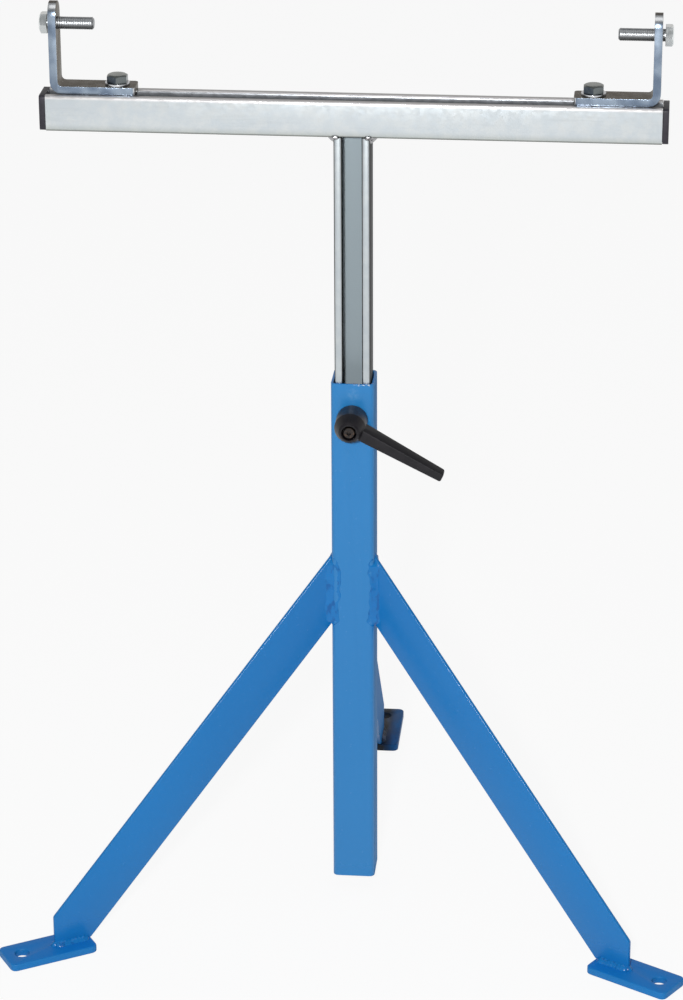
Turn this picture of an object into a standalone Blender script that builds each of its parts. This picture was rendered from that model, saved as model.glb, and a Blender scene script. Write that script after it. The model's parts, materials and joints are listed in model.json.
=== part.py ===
"""Height-adjustable tripod stand with a channel rail that carries a roller or a roller track.

Metres, +Z up, the lever on the -Y side. The origin is on the floor, below the middle of the outer box.
"""

import math

import bmesh
import bpy
from mathutils import Matrix, Vector

# Column: square tube, open at both ends
COLUMN_WALL = 0.003
COLUMN_CORNER = 0.006
COLUMN_BOTTOM = 0.018
COLUMN_TOP = 0.656

# Channel profile shared by the post and the top rail
STRUT_SIDE = 0.0413
STRUT_WALL = 0.0025
STRUT_SLOT = 0.022
STRUT_LIP = 0.0075
STRUT_CORNER = 0.0030
POST_PLAY = 0.00135

# Post and rail
RAIL_TOP = 0.990
RAIL_LENGTH = 0.690
POST_LENGTH = 0.620

# Legs: flat bars on edge, and the floor plates under them
LEG_WIDTH = 0.0585
LEG_THICKNESS = 0.005
LEG_ANGLE = math.radians(47.0)
LEG_SPREAD = math.radians(121.5)
LEG_SEAT = 0.0455
LEG_TOE_ROUND = 0.006
FOOT_START = 0.350
FOOT_LENGTH = 0.108
FOOT_WIDTH = 0.048
FOOT_THICKNESS = 0.009
FOOT_ROUND = 0.007
FOOT_HOLE = 0.017
FOOT_HOLE_EDGE = 0.0215

# End caps of the rail
CAP_PLATE = 0.0068
CAP_PLUG = 0.014
CAP_PLUG_WALL = 0.003
CAP_INSET = 0.0006

# Brackets: bent flat bar
BRACKET_WIDTH = 0.030
BRACKET_THICKNESS = 0.009
BRACKET_BASE = 0.096
BRACKET_RISE = 0.1035
BRACKET_BEND = 0.005
BRACKET_TOP_ROUND = 0.0146
BRACKET_END_ROUND = 0.004
BRACKET_GAP_LEFT = 0.0052
BRACKET_GAP_RIGHT = 0.0027
BASE_BOLT_EDGE = 0.0215
PIVOT_EDGE = 0.025

# Hex bolts, washers and channel nuts
BOLT_SIZE = 0.014
BOLT_FLATS = 0.022
BOLT_HEAD = 0.0088
BOLT_CHAMFER = 0.0016
BOLT_CROWN = 0.95
BASE_BOLT_LENGTH = 0.035
PIVOT_BOLT_LENGTH = 0.052
PIVOT_OUT_LEFT = 0.0018
PIVOT_OUT_RIGHT = 0.0031
WASHER_OUTER = 0.028
WASHER_THICKNESS = 0.0025
NUT_PLAY = 0.00115
NUT_WIDE = 0.024
NUT_TALL = 0.009
NUT_GROOVE = 0.0015
NUT_ROUND = 0.006

# Clamping lever
CLAMP_BELOW_TOP = 0.0432
STUD_SIZE = 0.012
STUD_PAST_NUT = 0.002
INSERT_LENGTH = 0.0238
INSERT_NECK = 0.0068
TOOTH_TIP = 0.0088
TOOTH_ROOT = 0.0078
TOOTH_LENGTH = 0.0045
TOOTH_COUNT = 24
HUB_BASE = 0.0182
HUB_COLLAR = 0.028
HUB_NOSE = 0.0122
HUB_EDGE = 0.0022
HUB_SHOULDER = 0.003
HUB_WELL = 0.0088
ARM_LENGTH = 0.118
ARM_DROP = math.radians(24.7)
ARM_RISE = math.radians(10.0)
ARM_HEIGHT = 0.0235
ARM_ROOT_WIDE = 0.0215
ARM_ROOT_DEEP = 0.018
ARM_TIP_WIDE = 0.0145
ARM_TIP_DEEP = 0.013
ARM_TIP_EDGE = 0.0024
ARM_CORNER = 0.0018
ARM_FACE_SHARE = 0.64
SCREW_SIZE = 0.006
SCREW_HEAD = 0.013
SCREW_HEAD_TALL = 0.005
SCREW_SOCKET = 0.005
SCREW_SOCKET_DEEP = 0.003
SCREW_THREAD = 0.010
SCREW_EDGE = 0.00055
SCREW_RECESS = 0.0006
SPRING_WIRE = 0.0008
SPRING_DIAMETER = 0.0110
SPRING_TURNS = 4
SPRING_LENGTH = 0.0105

# Clearances
FACE_GAP = 0.0003
SLIDE_GAP = 0.0003
THREAD_GAP = 0.0003
HOLE_GAP = 0.0005
PLUG_GAP = 0.0004

# Facets
ROUND_SIDES = 24
ARC_STEPS = 4
CURL_POINTS = 10
WIRE_FACETS = 1
SHARP_ANGLE = math.radians(35.0)
ROUND_PROFILE = 0.5

# Derived sizes and places
COLUMN_INNER = STRUT_SIDE / 2 + POST_PLAY
COLUMN_SIDE = 2 * (COLUMN_INNER + COLUMN_WALL)
NUT_LONG = STRUT_SIDE - 2 * STRUT_WALL - 2 * NUT_PLAY
HUB_SHELF = INSERT_LENGTH + FACE_GAP
HUB_LEDGE = HUB_SHELF + HUB_SHOULDER
SPRING_START = HUB_LEDGE + FACE_GAP
SCREW_START = SPRING_START + SPRING_LENGTH + FACE_GAP
HUB_HEIGHT = SCREW_START + SCREW_HEAD_TALL + SCREW_RECESS
FOOT_END = FOOT_START + FOOT_LENGTH
CORNER_OUT = FOOT_END - FOOT_ROUND
CORNER_SIDE = FOOT_WIDTH / 2 - FOOT_ROUND
FRONT_TURN = math.pi - LEG_SPREAD
FRONT_REACH = CORNER_OUT * math.cos(FRONT_TURN) + CORNER_SIDE * math.sin(FRONT_TURN) + FOOT_ROUND
AXIS_Y = (FRONT_REACH - FOOT_END) / 2
POST_Y = STRUT_SIDE / 2 + SLIDE_GAP - COLUMN_INNER
RAIL_BOTTOM = RAIL_TOP - STRUT_SIDE
POST_TOP = RAIL_BOTTOM - FACE_GAP
CLAMP_Z = COLUMN_TOP - CLAMP_BELOW_TOP
FRONT_FACE = -COLUMN_SIDE / 2


def clear_scene():
    for old in list(bpy.data.objects):
        bpy.data.objects.remove(old, do_unlink=True)


def make_material(name, color, roughness, metallic):
    material = bpy.data.materials.new(name)
    material.use_nodes = True
    shader = material.node_tree.nodes["Principled BSDF"]
    shader.inputs["Base Color"].default_value = (*color, 1.0)
    shader.inputs["Roughness"].default_value = roughness
    shader.inputs["Metallic"].default_value = metallic
    material.diffuse_color = (*color, 1.0)
    return material


FINISHES = {
    "blue": ((0.035, 0.21, 0.52), 0.38, 0.0),
    "galvanised": ((0.68, 0.71, 0.73), 0.42, 1.0),
    "zinc": ((0.56, 0.60, 0.66), 0.35, 1.0),
    "bolt_steel": ((0.52, 0.54, 0.55), 0.35, 1.0),
    "black_plastic": ((0.025, 0.024, 0.028), 0.50, 0.0),
    "dark_steel": ((0.09, 0.09, 0.10), 0.45, 1.0),
}


def finish(name, node):
    color, roughness, metallic = FINISHES[name]
    return make_material(f"{node}_{name}", color, roughness, metallic)


def add_empty(name, location, parent=None):
    empty = bpy.data.objects.new(name, None)
    empty.location = location
    empty.parent = parent
    bpy.context.scene.collection.objects.link(empty)
    return empty


def add_object(name, bm, look, parent, location=(0.0, 0.0, 0.0), turn=None, smooth=True):
    """Close a bmesh into a named object, with its faces turned outwards."""
    bmesh.ops.recalc_face_normals(bm, faces=bm.faces)
    mesh = bpy.data.meshes.new(name)
    bm.to_mesh(mesh)
    bm.free()
    if smooth:
        mesh.shade_smooth()
        mesh.set_sharp_from_angle(angle=SHARP_ANGLE)
    item = bpy.data.objects.new(name, mesh)
    item.parent = parent
    item.location = location
    if turn is not None:
        item.rotation_euler = turn
    if look:
        mesh.materials.append(finish(look, name))
    bpy.context.scene.collection.objects.link(item)
    return item


def add_cutter(target, name, bm, location=(0.0, 0.0, 0.0), turn=None, operation="DIFFERENCE"):
    """Cut, or join, a hidden guide shape into an object. The guide shares the object's parent."""
    guide = add_object(name, bm, None, target.parent, location, turn, smooth=False)
    guide.hide_render = True
    guide.display_type = "WIRE"
    cut = target.modifiers.new(name, "BOOLEAN")
    cut.operation = operation
    cut.solver = "EXACT"
    cut.object = guide
    return guide


def rounded_path(points, radius, closed=False):
    """Follow straight runs, with an arc of the given radius at each inner corner."""
    count = len(points)
    path = []
    for index, corner in enumerate(points):
        here = Vector(corner)
        if not closed and index in (0, count - 1):
            path.append(here)
            continue
        to_last = (Vector(points[index - 1]) - here).normalized()
        to_next = (Vector(points[(index + 1) % count]) - here).normalized()
        half = to_last.angle(to_next) / 2
        reach = radius / math.tan(half)
        centre = here + (to_last + to_next).normalized() * radius / math.sin(half)
        first = here + to_last * reach - centre
        last = here + to_next * reach - centre
        sweep = first.angle_signed(last)
        for step in range(ARC_STEPS + 1):
            share = sweep * step / ARC_STEPS
            path.append(centre + Matrix.Rotation(-share, 2) @ first)
    return path


def rectangle(wide, deep):
    return [(wide / 2, -deep / 2), (wide / 2, deep / 2), (-wide / 2, deep / 2), (-wide / 2, -deep / 2)]


def prism(outline, low, high):
    """Extrude a closed outline in X and Y from one height to another."""
    bm = bmesh.new()
    bottom = [bm.verts.new((point[0], point[1], low)) for point in outline]
    face = bm.faces.new(bottom)
    grown = bmesh.ops.extrude_face_region(bm, geom=[face])
    top = [item for item in grown["geom"] if isinstance(item, bmesh.types.BMVert)]
    bmesh.ops.translate(bm, verts=top, vec=(0.0, 0.0, high - low))
    return bm


def loft(loops, ring=False):
    """Bridge equal loops of points in turn. A ring closes on itself, otherwise the ends get caps."""
    bm = bmesh.new()
    rows = [[bm.verts.new(point) for point in loop] for loop in loops]
    count = len(rows[0])
    pairs = list(zip(rows, rows[1:]))
    if ring:
        pairs.append((rows[-1], rows[0]))
    for near, far in pairs:
        for side in range(count):
            after = (side + 1) % count
            bm.faces.new((near[side], near[after], far[after], far[side]))
    if not ring:
        bm.faces.new(rows[0])
        bm.faces.new(rows[-1])
    return bm


def circle(radius, height, sides=ROUND_SIDES):
    turns = [2 * math.pi * side / sides for side in range(sides)]
    return [(radius * math.cos(turn), radius * math.sin(turn), height) for turn in turns]


def hexagon(flats, height, chamfer_radius=None, sides=ROUND_SIDES):
    """A hexagon sampled as a loop. With a chamfer radius, its corners fall away on a 30 degree cone."""
    loop = []
    for side in range(sides):
        turn = 2 * math.pi * side / sides
        off = (turn + math.pi / 6) % (math.pi / 3) - math.pi / 6
        radius = flats / 2 / math.cos(off)
        drop = 0.0
        if chamfer_radius is not None:
            drop = (radius - chamfer_radius) * math.tan(math.pi / 6)
        loop.append((radius * math.cos(turn), radius * math.sin(turn), height - drop))
    return loop


def teeth(gap, height):
    """A toothed loop: its points lie in turn on a tip and in a root."""
    loop = []
    count = TOOTH_COUNT * 2
    for step in range(count):
        radius = gap + (TOOTH_TIP if step % 2 == 0 else TOOTH_ROOT)
        turn = 2 * math.pi * step / count
        loop.append((radius * math.cos(turn), radius * math.sin(turn), height))
    return loop


def rod(radius, low, high, sides=ROUND_SIDES):
    return loft([circle(radius, low, sides), circle(radius, high, sides)])


def channel_outline():
    """The channel's section, with its slot towards +Y and its lips turned into it."""
    half = STRUT_SIDE / 2
    slot = STRUT_SLOT / 2
    lip = half - STRUT_LIP
    wall = STRUT_WALL
    outer = [(slot, lip), (slot, half), (half, half), (half, -half)]
    face = half - wall
    inner = [(slot + wall, lip), (slot + wall, face), (face, face), (face, -face)]
    paths = []
    for path, radius in ((outer, STRUT_CORNER), (inner, STRUT_CORNER - wall)):
        mirrored = [(-x, y) for x, y in reversed(path)]
        paths.append(rounded_path(path + mirrored, radius))
    return paths[0] + list(reversed(paths[1]))


def build_column(stand):
    outer = rounded_path(rectangle(COLUMN_SIDE, COLUMN_SIDE), COLUMN_CORNER, closed=True)
    bore = rectangle(2 * COLUMN_INNER, 2 * COLUMN_INNER)
    inner = rounded_path(bore, COLUMN_CORNER - COLUMN_WALL, closed=True)
    loops = []
    low, high = COLUMN_BOTTOM, COLUMN_TOP
    for outline, height in ((outer, low), (outer, high), (inner, high), (inner, low)):
        loops.append([(x, y, height) for x, y in outline])
    column = add_object("column_tube", loft(loops, ring=True), "blue", stand)
    stud_hole = rod(STUD_SIZE / 2 + HOLE_GAP, -COLUMN_WALL, COLUMN_WALL)
    place = (0.0, FRONT_FACE + COLUMN_WALL / 2, CLAMP_Z)
    add_cutter(column, "column_stud_hole", stud_hole, place, (math.pi / 2, 0.0, 0.0))


def leg_outline():
    """Side view of a leg: distance from the column's axis, and height."""
    slope = math.tan(LEG_ANGLE)
    drop = LEG_WIDTH / math.cos(LEG_ANGLE)
    sole = FOOT_THICKNESS + FACE_GAP
    toe = FOOT_START + LEG_SEAT
    heel_to_toe = LEG_SEAT * slope
    start = 0.0
    low = sole + FOOT_START * slope
    corner = Vector((toe, sole - heel_to_toe + drop))
    return [(start, low), (FOOT_START, sole), (toe, sole), tuple(corner), (start, low + drop)]


def build_leg(stand, name, heading):
    """One leg in the plane through the column's axis, cut back to clear the column."""
    outline = leg_outline()
    corner = len(outline) - 2
    toe = rounded_path(outline[corner - 1:corner + 2], LEG_TOE_ROUND)
    points = [Vector(point) for point in outline[:corner - 1]] + toe
    bm = prism(points, -LEG_THICKNESS / 2, LEG_THICKNESS / 2)
    frame = add_empty(f"{name}_heading", (0.0, 0.0, 0.0), stand)
    frame.rotation_euler = (0.0, 0.0, heading)
    leg = add_object(f"leg_{name}", bm, "blue", frame, turn=(math.pi / 2, 0.0, 0.0))
    clear = COLUMN_SIDE + 2 * FACE_GAP
    block = rounded_path(rectangle(clear, clear), COLUMN_CORNER, closed=True)
    add_cutter(leg, f"leg_{name}_clearance", prism(block, 0.0, COLUMN_TOP), turn=(0.0, 0.0, -heading))
    build_foot(frame, name)


def build_foot(frame, name):
    outline = rounded_path(rectangle(FOOT_LENGTH, FOOT_WIDTH), FOOT_ROUND, closed=True)
    place = (FOOT_START + FOOT_LENGTH / 2, 0.0, 0.0)
    foot = add_object(f"foot_{name}", prism(outline, 0.0, FOOT_THICKNESS), "blue", frame, place)
    hole = rod(FOOT_HOLE / 2, -FOOT_THICKNESS, 2 * FOOT_THICKNESS)
    add_cutter(foot, f"foot_{name}_hole", hole, (FOOT_END - FOOT_HOLE_EDGE, 0.0, 0.0))


def build_base(stand):
    build_column(stand)
    rear = math.pi / 2
    headings = {"rear": rear, "front_left": rear + LEG_SPREAD, "front_right": rear - LEG_SPREAD}
    for name, heading in headings.items():
        build_leg(stand, name, heading)


def build_mast(mast):
    """Post and rail of the same channel: the post's slot faces the lever, the rail's faces up."""
    outline = channel_outline()
    post = prism(outline, POST_TOP - POST_LENGTH, POST_TOP)
    add_object("post_channel", post, "galvanised", mast, turn=(0.0, 0.0, math.pi))
    rail = prism(outline, -RAIL_LENGTH / 2, RAIL_LENGTH / 2)
    middle = (0.0, 0.0, RAIL_TOP - STRUT_SIDE / 2)
    add_object("top_rail", rail, "galvanised", mast, middle, (math.pi / 2, 0.0, math.pi / 2))
    for name, side in (("left", -1), ("right", 1)):
        build_cap(mast, name, side)


def build_cap(mast, name, side):
    """A plastic plate over the rail's end, with a hollow plug that sits below the lips."""
    plate_side = STRUT_SIDE - 2 * CAP_INSET
    plate = rounded_path(rectangle(plate_side, plate_side), STRUT_CORNER, closed=True)
    bm = prism(plate, FACE_GAP, FACE_GAP + CAP_PLATE)
    middle = (side * RAIL_LENGTH / 2, 0.0, RAIL_TOP - STRUT_SIDE / 2)
    turn = (math.pi / 2, 0.0, side * math.pi / 2)
    cap = add_object(f"rail_cap_{name}", bm, "black_plastic", mast, middle, turn)
    floor = STRUT_WALL - STRUT_SIDE / 2 + PLUG_GAP
    ceiling = STRUT_SIDE / 2 - STRUT_LIP - PLUG_GAP
    wide = STRUT_SIDE - 2 * STRUT_WALL - 2 * PLUG_GAP
    tall = ceiling - floor
    rise = (floor + ceiling) / 2
    outer = rounded_path(rectangle(wide, tall), STRUT_CORNER - STRUT_WALL + PLUG_GAP, closed=True)
    hollow = rectangle(wide - 2 * CAP_PLUG_WALL, tall - 2 * CAP_PLUG_WALL)
    inner = rounded_path(hollow, PLUG_GAP, closed=True)
    loops = []
    for outline, depth in ((outer, CAP_PLATE / 2), (outer, -CAP_PLUG), (inner, -CAP_PLUG), (inner, 0.0)):
        loops.append([(x, y + rise, depth) for x, y in outline])
    add_cutter(cap, f"rail_cap_{name}_plug", loft(loops), middle, turn, "UNION")


def bolt_mesh(length):
    """A hex bolt along Z: its shank below zero and its chamfered head above."""
    radius = BOLT_SIZE / 2
    crown = BOLT_FLATS / 2 * BOLT_CROWN
    return loft([
        circle(radius - BOLT_CHAMFER, -length),
        circle(radius, BOLT_CHAMFER - length),
        circle(radius, 0.0),
        hexagon(BOLT_FLATS, 0.0),
        hexagon(BOLT_FLATS, BOLT_HEAD, crown),
        circle(crown, BOLT_HEAD),
    ])


def washer_mesh():
    bore = BOLT_SIZE / 2 + HOLE_GAP
    outer = WASHER_OUTER / 2
    return loft([
        circle(bore, 0.0),
        circle(outer, 0.0),
        circle(outer, WASHER_THICKNESS),
        circle(bore, WASHER_THICKNESS),
    ], ring=True)


def add_channel_nut(name, look, bolt_size, parent, location, turn=None):
    """A nut that sits under a channel's lips: long across the slot, with a groove for each lip.

    Its top is at zero before turning, where the lips' edges would end without the grooves.
    """
    outline = rounded_path(rectangle(NUT_LONG, NUT_WIDE), NUT_ROUND, closed=True)
    top = NUT_GROOVE - FACE_GAP
    nut = add_object(name, prism(outline, top - NUT_TALL, top), look, parent, location, turn)
    bore = rod(bolt_size / 2 + THREAD_GAP, -2 * NUT_TALL, NUT_TALL)
    add_cutter(nut, f"{name}_bore", bore, location, turn)
    groove_wide = STRUT_WALL + 2 * SLIDE_GAP
    for label, side in (("a", -1), ("b", 1)):
        block = prism(rectangle(groove_wide, 2 * NUT_WIDE), -FACE_GAP, NUT_TALL)
        shift = Vector((side * (STRUT_SLOT + STRUT_WALL) / 2, 0.0, 0.0))
        bmesh.ops.translate(block, verts=block.verts, vec=shift)
        add_cutter(nut, f"{name}_groove_{label}", block, location, turn)
    return nut


def bracket_mesh():
    """A bent flat bar seen along its width: its heel is at zero and its base runs to +X."""
    outer = [(BRACKET_BASE, 0.0), (0.0, 0.0), (0.0, BRACKET_RISE)]
    t = BRACKET_THICKNESS
    inner = [(BRACKET_BASE, t), (t, t), (t, BRACKET_RISE)]
    bend = rounded_path(outer, BRACKET_BEND + t) + list(reversed(rounded_path(inner, BRACKET_BEND)))
    bm = prism(bend, -BRACKET_WIDTH / 2, BRACKET_WIDTH / 2)
    bmesh.ops.recalc_face_normals(bm, faces=bm.faces)
    ends = ((1, BRACKET_RISE, BRACKET_TOP_ROUND), (0, BRACKET_BASE, BRACKET_END_ROUND))
    for axis, limit, radius in ends:
        edges = []
        for edge in bm.edges:
            first, last = (vert.co for vert in edge.verts)
            at_end = min(first[axis], last[axis]) > limit - FACE_GAP
            if at_end and abs(first.z - last.z) < FACE_GAP:
                edges.append(edge)
        bmesh.ops.bevel(
            bm, geom=edges, offset=radius, segments=ARC_STEPS, profile=ROUND_PROFILE, affect="EDGES"
        )
    return bm


def build_bracket(stand, name, side, end_gap, pivot_out):
    """One bracket with its fasteners. The right-hand one is the left-hand one turned half round."""
    heel = side * (RAIL_LENGTH / 2 - end_gap)
    frame = add_empty(f"bracket_{name}_frame", (heel, POST_Y, RAIL_TOP + FACE_GAP), stand)
    frame.rotation_euler = (0.0, 0.0, 0.0 if side < 0 else math.pi)
    bracket = add_object(f"bracket_{name}", bracket_mesh(), "zinc", frame, turn=(math.pi / 2, 0.0, 0.0))
    bolt_x = BRACKET_BASE - BASE_BOLT_EDGE
    pivot_z = BRACKET_RISE - PIVOT_EDGE
    hole = BOLT_SIZE / 2 + HOLE_GAP
    reach = 2 * BRACKET_THICKNESS
    across = (0.0, -math.pi / 2, 0.0)
    add_cutter(bracket, f"bracket_{name}_base_hole", rod(hole, -reach, reach), (bolt_x, 0.0, 0.0))
    pivot_hole = rod(BOLT_SIZE / 2 + THREAD_GAP, -reach, reach)
    add_cutter(bracket, f"bracket_{name}_pivot_hole", pivot_hole, (0.0, 0.0, pivot_z), across)
    washer_z = BRACKET_THICKNESS + FACE_GAP
    head_z = washer_z + WASHER_THICKNESS + FACE_GAP
    add_object(f"bracket_washer_{name}", washer_mesh(), "zinc", frame, (bolt_x, 0.0, washer_z))
    base_bolt = bolt_mesh(BASE_BOLT_LENGTH)
    add_object(f"bracket_bolt_{name}", base_bolt, "bolt_steel", frame, (bolt_x, 0.0, head_z))
    nut_place = (bolt_x, 0.0, -FACE_GAP - STRUT_LIP)
    add_channel_nut(f"channel_nut_{name}", "zinc", BOLT_SIZE, frame, nut_place, (0.0, 0.0, math.pi / 2))
    pivot_place = (-FACE_GAP - pivot_out, 0.0, pivot_z)
    pivot_bolt = bolt_mesh(PIVOT_BOLT_LENGTH)
    add_object(f"pivot_bolt_{name}", pivot_bolt, "bolt_steel", frame, pivot_place, across)


def stud_mesh(nut_back):
    """Steel insert: a stud behind, a short toothed collar, and a plain neck with a tapped hole."""
    count = TOOTH_COUNT * 2
    tapped = SCREW_SIZE / 2 + THREAD_GAP
    radius = STUD_SIZE / 2
    end = -nut_back - STUD_PAST_NUT
    return loft([
        circle(radius - BOLT_CHAMFER, end, count),
        circle(radius, end + BOLT_CHAMFER, count),
        circle(radius, FACE_GAP, count),
        teeth(0.0, FACE_GAP),
        teeth(0.0, TOOTH_LENGTH),
        circle(INSERT_NECK, TOOTH_LENGTH, count),
        circle(INSERT_NECK, INSERT_LENGTH, count),
        circle(tapped, INSERT_LENGTH, count),
        circle(tapped, INSERT_LENGTH - SCREW_THREAD - FACE_GAP, count),
    ])


def hub_mesh():
    """The lever's hub: toothed at its mouth, a shoulder inside, and an open well for spring and screw."""
    count = TOOTH_COUNT * 2
    pass_hole = SCREW_SIZE / 2 + HOLE_GAP
    neck = INSERT_NECK + SLIDE_GAP
    collar = TOOTH_LENGTH + SLIDE_GAP
    return loft([
        teeth(SLIDE_GAP, FACE_GAP),
        circle(HUB_BASE - HUB_EDGE / 2, FACE_GAP, count),
        circle(HUB_BASE, FACE_GAP + HUB_EDGE / 2, count),
        circle(HUB_BASE, HUB_COLLAR, count),
        circle(HUB_NOSE, HUB_HEIGHT - HUB_EDGE, count),
        circle(HUB_NOSE - HUB_EDGE, HUB_HEIGHT, count),
        circle(HUB_WELL, HUB_HEIGHT, count),
        circle(HUB_WELL, HUB_LEDGE, count),
        circle(pass_hole, HUB_LEDGE, count),
        circle(pass_hole, HUB_SHELF, count),
        circle(neck, HUB_SHELF, count),
        circle(neck, collar, count),
        teeth(SLIDE_GAP, collar),
    ], ring=True)


def arm_section(wide, deep):
    """Section of the lever's arm: narrower at its outer face, with rounded corners."""
    face = wide * ARM_FACE_SHARE
    corners = [(wide / 2, -deep / 2), (face / 2, deep / 2), (-face / 2, deep / 2), (-wide / 2, -deep / 2)]
    return rounded_path(corners, ARM_CORNER, closed=True)


def arm_mesh():
    """The lever's arm along +X: a bar that tapers and climbs to a flat tip with soft edges."""
    root = HUB_WELL + HUB_EDGE
    stations = [(root, 0.0)]
    for step in range(ARC_STEPS + 1):
        turn = math.pi / 2 * step / ARC_STEPS
        back = ARM_TIP_EDGE * (1 - math.sin(turn))
        shrink = ARM_TIP_EDGE * (1 - math.cos(turn))
        stations.append((ARM_LENGTH - back, shrink))
    loops = []
    for reach, shrink in stations:
        taper = (reach - root) / (ARM_LENGTH - root)
        wide = ARM_ROOT_WIDE + (ARM_TIP_WIDE - ARM_ROOT_WIDE) * taper - 2 * shrink
        deep = ARM_ROOT_DEEP + (ARM_TIP_DEEP - ARM_ROOT_DEEP) * taper - 2 * shrink
        height = ARM_HEIGHT + reach * math.tan(ARM_RISE)
        loops.append([(reach, across, height + out) for across, out in arm_section(wide, deep)])
    return loft(loops)


def screw_mesh():
    """Socket-head screw along Z: its head's underside is at zero."""
    head = SCREW_HEAD / 2
    length = SCREW_START - INSERT_LENGTH + SCREW_THREAD
    shank = SCREW_SIZE / 2
    return loft([
        circle(shank, -length),
        circle(shank, 0.0),
        circle(head, 0.0),
        circle(head, SCREW_HEAD_TALL - SCREW_EDGE),
        circle(head - SCREW_EDGE, SCREW_HEAD_TALL),
        hexagon(SCREW_SOCKET, SCREW_HEAD_TALL),
        hexagon(SCREW_SOCKET, SCREW_HEAD_TALL - SCREW_SOCKET_DEEP),
    ])


def spring_points():
    """Centre line of the return spring, one unbroken helix."""
    total = SPRING_TURNS * CURL_POINTS
    climb = SPRING_LENGTH - SPRING_WIRE
    radius = (SPRING_DIAMETER - SPRING_WIRE) / 2
    points = []
    for step in range(total + 1):
        turn = 2 * math.pi * step / CURL_POINTS
        rise = SPRING_WIRE / 2 + climb * step / total
        points.append(Vector((radius * math.cos(turn), radius * math.sin(turn), rise)))
    return points


def build_spring(parent, location, turn):
    points = spring_points()
    curve = bpy.data.curves.new("lever_spring", "CURVE")
    curve.dimensions = "3D"
    curve.bevel_depth = SPRING_WIRE / 2
    curve.bevel_resolution = WIRE_FACETS
    curve.use_fill_caps = True
    spline = curve.splines.new("POLY")
    spline.points.add(len(points) - 1)
    for slot, point in zip(spline.points, points):
        slot.co = (*point, 1.0)
    curve.materials.append(finish("bolt_steel", "lever_spring"))
    spring = bpy.data.objects.new("lever_spring", curve)
    spring.parent = parent
    spring.location = location
    spring.rotation_euler = turn
    bpy.context.scene.collection.objects.link(spring)
    least = min((a - b).length for i, a in enumerate(points) for b in points[i + CURL_POINTS // 2:])
    print(f"lever spring least gap to itself: {(least - SPRING_WIRE) * 1000:.2f} mm")


def build_clamp(stand):
    """Lever, stud and nut on one axis, square to the column's front face."""
    axis = add_empty("clamp_axis", (0.0, FRONT_FACE, CLAMP_Z), stand)
    facing = (math.pi / 2, 0.0, 0.0)
    lips_end = COLUMN_WALL + SLIDE_GAP + STRUT_LIP
    nut_back = lips_end + NUT_TALL
    add_object("clamp_stud", stud_mesh(nut_back), "dark_steel", axis, turn=facing)
    add_channel_nut("clamp_nut", "zinc", STUD_SIZE, axis, (0.0, lips_end, 0.0), facing)
    swing = (math.pi / 2, ARM_DROP, 0.0)
    handle = add_object("lever_handle", hub_mesh(), "black_plastic", axis, turn=facing)
    add_cutter(handle, "lever_arm", arm_mesh(), turn=swing, operation="UNION")
    build_spring(axis, (0.0, -SPRING_START, 0.0), facing)
    add_object("lever_screw", screw_mesh(), "dark_steel", axis, (0.0, -SCREW_START, 0.0), facing)


def build_stand():
    clear_scene()
    stand = add_empty("stand", (0.0, AXIS_Y, 0.0))
    build_base(stand)
    mast = add_empty("mast", (0.0, POST_Y, 0.0), stand)
    build_mast(mast)
    build_bracket(stand, "left", -1, BRACKET_GAP_LEFT, PIVOT_OUT_LEFT)
    build_bracket(stand, "right", 1, BRACKET_GAP_RIGHT, PIVOT_OUT_RIGHT)
    build_clamp(stand)


build_stand()
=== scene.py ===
"""Looks of the tripod roller stand: finishes, rounded edges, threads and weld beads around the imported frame.

Metres, +Z up, the lever on the -Y side. Every piece is made at its place in the row frame.
"""

import json
import math
import random

import bmesh
import bpy
from mathutils import Matrix, Vector


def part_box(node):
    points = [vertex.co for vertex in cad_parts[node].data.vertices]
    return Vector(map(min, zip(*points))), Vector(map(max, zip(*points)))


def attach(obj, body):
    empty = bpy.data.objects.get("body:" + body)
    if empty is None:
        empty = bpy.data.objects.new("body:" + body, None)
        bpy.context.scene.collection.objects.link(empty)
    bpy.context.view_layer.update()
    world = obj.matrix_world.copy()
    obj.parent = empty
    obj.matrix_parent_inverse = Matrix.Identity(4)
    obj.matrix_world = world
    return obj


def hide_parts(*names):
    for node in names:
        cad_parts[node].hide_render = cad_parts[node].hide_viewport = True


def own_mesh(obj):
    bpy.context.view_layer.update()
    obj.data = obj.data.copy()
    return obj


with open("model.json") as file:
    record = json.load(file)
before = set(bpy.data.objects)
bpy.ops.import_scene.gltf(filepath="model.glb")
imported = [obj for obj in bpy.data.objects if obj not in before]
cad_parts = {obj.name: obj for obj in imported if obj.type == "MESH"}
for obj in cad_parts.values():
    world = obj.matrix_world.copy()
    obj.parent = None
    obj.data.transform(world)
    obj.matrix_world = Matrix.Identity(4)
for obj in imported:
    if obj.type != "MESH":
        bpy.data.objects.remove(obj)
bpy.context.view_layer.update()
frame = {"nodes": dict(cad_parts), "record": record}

NODES = frame["nodes"]
BEHAVIOUR = frame["record"]["behaviour"]
BODY_OF = {node: body for body, members in BEHAVIOUR["bodies"].items() for node in members}
SLOT_OF = {part["node"]: part["material_slot"] for part in frame["record"]["subparts"]}
UP = Vector((0.0, 0.0, 1.0))
BACK = Vector((0.0, 1.0, 0.0))

# Edge rounding of the rigid pieces
TUBE_EDGE = 0.0006
LEG_EDGE = 0.0014
FOOT_EDGE = 0.0026
BRACKET_EDGE = 0.0015
CAP_EDGE = 0.0010
LEVER_EDGE = 0.0007
SMALL_EDGE = 0.0003
EDGE_STEPS = 3
SAME_POINT = 1e-6

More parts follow.
